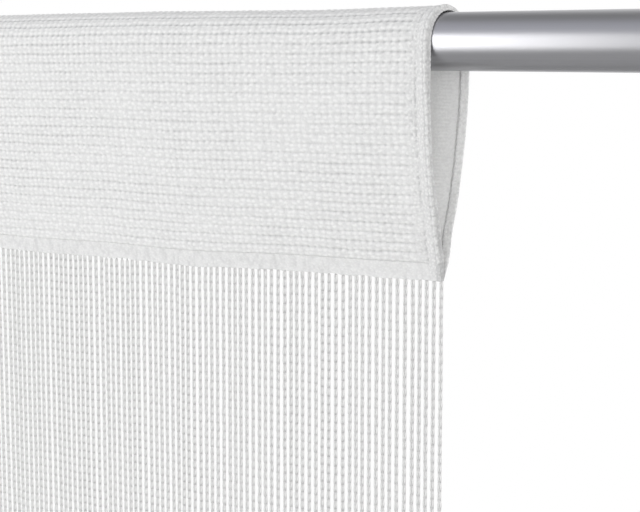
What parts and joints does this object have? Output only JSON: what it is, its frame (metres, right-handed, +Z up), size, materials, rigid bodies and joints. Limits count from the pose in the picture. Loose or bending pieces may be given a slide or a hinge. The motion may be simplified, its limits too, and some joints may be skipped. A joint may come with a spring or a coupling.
{
  "type": "string curtain on a curtain rod",
  "caption": "Door or window curtain of hanging knitted strings below a ribbed knitted pocket that is folded over a plain round rod.",
  "frame": {"origin": "on the rod's axis, at the middle of its length", "axes": "+X along the rod to the right end as seen from the front, -Y is the curtain's front, +Z up along the hanging strings"},
  "size_m": [1.2, 0.027, 2.0058],
  "materials": {
    "rod_metal": "satin metal with a fine grain along the rod",
    "knit_heading": "white ribbed warp knit, matt with a faint sheen",
    "knit_strings": "white knitted chain strings, matt with a faint sheen"
  },
  "bodies": {
    "root": {"rod": "rod_metal", "heading": "knit_heading", "string_fringe": "knit_strings"}
  },
  "joints": []
}
